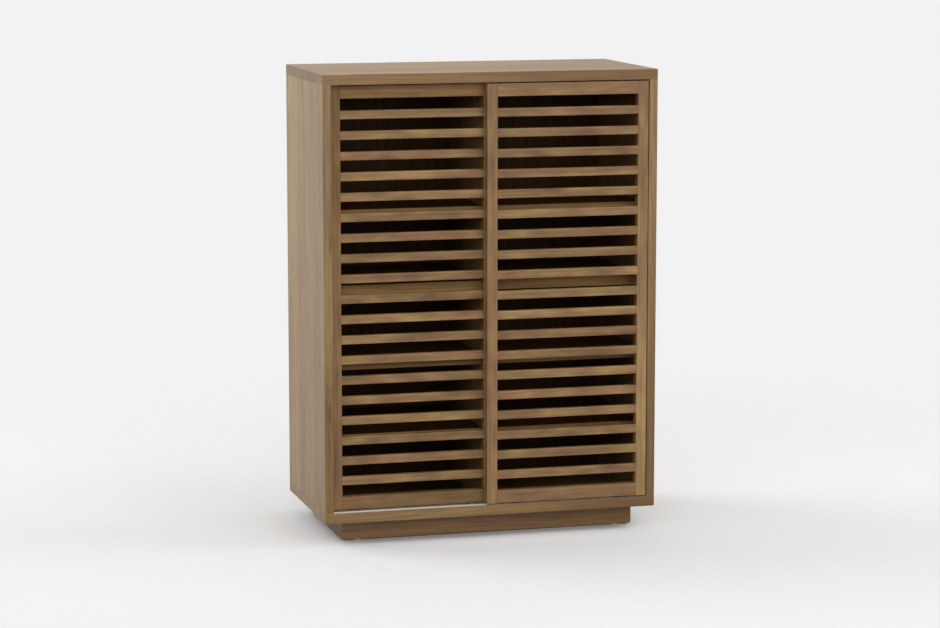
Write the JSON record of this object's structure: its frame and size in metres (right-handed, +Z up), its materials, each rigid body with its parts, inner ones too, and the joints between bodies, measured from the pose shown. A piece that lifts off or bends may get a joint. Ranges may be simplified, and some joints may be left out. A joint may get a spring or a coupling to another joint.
{
  "type": "slatted cabinet with sliding doors",
  "caption": "Tall wooden cabinet on a recessed plinth, with shelves behind overlapping sliding doors made of thin horizontal slats in mortised frames.",
  "frame": {"origin": "on the floor, under the middle of the case", "axes": "X runs to the right as seen from the front, Y runs from the front to the back, Z is up"},
  "size_m": [0.8, 0.4, 1.088],
  "materials": {
    "case_wood": "oiled solid hardwood, satin",
    "inner_wood": "oiled solid hardwood, satin",
    "back_plywood": "veneered plywood, oiled",
    "plinth_wood": "oiled solid hardwood, satin",
    "frame_wood": "oiled solid hardwood, satin",
    "slat_wood": "oiled solid hardwood, satin",
    "glide_nylon": "moulded nylon, light grey",
    "channel_aluminium": "extruded and anodised",
    "channel_plastic": "extruded plastic, dark brown",
    "roller_nylon": "moulded nylon, dark brown",
    "housing_plastic": "moulded plastic, dark brown",
    "axle_steel": "bright drawn steel"
  },
  "bodies": {
    "cabinet": {"top_panel": "case_wood", "bottom_panel": "case_wood", "left_side_panel": "case_wood", "right_side_panel": "case_wood", "centre_partition": "inner_wood", "back_panel": "back_plywood", "left_shelf_1": "inner_wood", "left_shelf_2": "inner_wood", "left_shelf_3": "inner_wood", "left_shelf_4": "inner_wood", "right_shelf_1": "inner_wood", "right_shelf_2": "inner_wood", "right_shelf_3": "inner_wood", "right_shelf_4": "inner_wood", "plinth_front_board": "plinth_wood", "plinth_rear_board": "plinth_wood", "plinth_left_board": "plinth_wood", "plinth_right_board": "plinth_wood", "plinth_cross_rail": "plinth_wood", "plinth_corner_blocks": "plinth_wood", "front_left_glide": "glide_nylon", "front_right_glide": "glide_nylon", "rear_left_glide": "glide_nylon", "rear_right_glide": "glide_nylon", "front_floor_channel": "channel_aluminium", "rear_floor_channel": "channel_aluminium", "front_top_channel": "channel_plastic", "rear_top_channel": "channel_plastic"},
    "left_door": {"left_door_left_stile": "frame_wood", "left_door_right_stile": "frame_wood", "left_door_top_rail": "frame_wood", "left_door_bottom_rail": "frame_wood", "left_door_slats": "slat_wood", "left_door_left_roller_housing": "housing_plastic", "left_door_left_axle": "axle_steel", "left_door_left_top_guide": "roller_nylon", "left_door_right_roller_housing": "housing_plastic", "left_door_right_axle": "axle_steel", "left_door_right_top_guide": "roller_nylon"},
    "left_door_left_wheel": {"left_door_left_roller": "roller_nylon"},
    "left_door_right_wheel": {"left_door_right_roller": "roller_nylon"},
    "right_door": {"right_door_left_stile": "frame_wood", "right_door_right_stile": "frame_wood", "right_door_top_rail": "frame_wood", "right_door_bottom_rail": "frame_wood", "right_door_slats": "slat_wood", "right_door_left_roller_housing": "housing_plastic", "right_door_left_axle": "axle_steel", "right_door_left_top_guide": "roller_nylon", "right_door_right_roller_housing": "housing_plastic", "right_door_right_axle": "axle_steel", "right_door_right_top_guide": "roller_nylon"},
    "right_door_left_wheel": {"right_door_left_roller": "roller_nylon"},
    "right_door_right_wheel": {"right_door_right_roller": "roller_nylon"}
  },
  "joints": [
    {"name": "left_door_slide", "type": "slide", "parent": "cabinet", "child": "left_door", "axis": [1, 0, 0], "range_m": [0, 0.366]},
    {"name": "right_door_slide", "type": "slide", "parent": "cabinet", "child": "right_door", "axis": [-1, 0, 0], "range_m": [0, 0.366]},
    {"name": "left_door_left_roll", "type": "hinge", "parent": "left_door", "child": "left_door_left_wheel", "pos_m": [-0.3165, -0.1625, 0.0833], "axis": [0, 1, 0], "continuous": true},
    {"name": "left_door_right_roll", "type": "hinge", "parent": "left_door", "child": "left_door_right_wheel", "pos_m": [-0.0495, -0.1625, 0.0833], "axis": [0, 1, 0], "continuous": true},
    {"name": "right_door_left_roll", "type": "hinge", "parent": "right_door", "child": "right_door_left_wheel", "pos_m": [0.0495, -0.188, 0.0833], "axis": [0, -1, 0], "continuous": true},
    {"name": "right_door_right_roll", "type": "hinge", "parent": "right_door", "child": "right_door_right_wheel", "pos_m": [0.3165, -0.188, 0.0833], "axis": [0, -1, 0], "continuous": true}
  ],
  "couplings": [
    {"joint": "left_door_left_roll", "follows": "left_door_slide", "rad_per_m": 83.333},
    {"joint": "left_door_right_roll", "follows": "left_door_slide", "rad_per_m": 83.333},
    {"joint": "right_door_left_roll", "follows": "right_door_slide", "rad_per_m": 83.333},
    {"joint": "right_door_right_roll", "follows": "right_door_slide", "rad_per_m": 83.333}
  ]
}
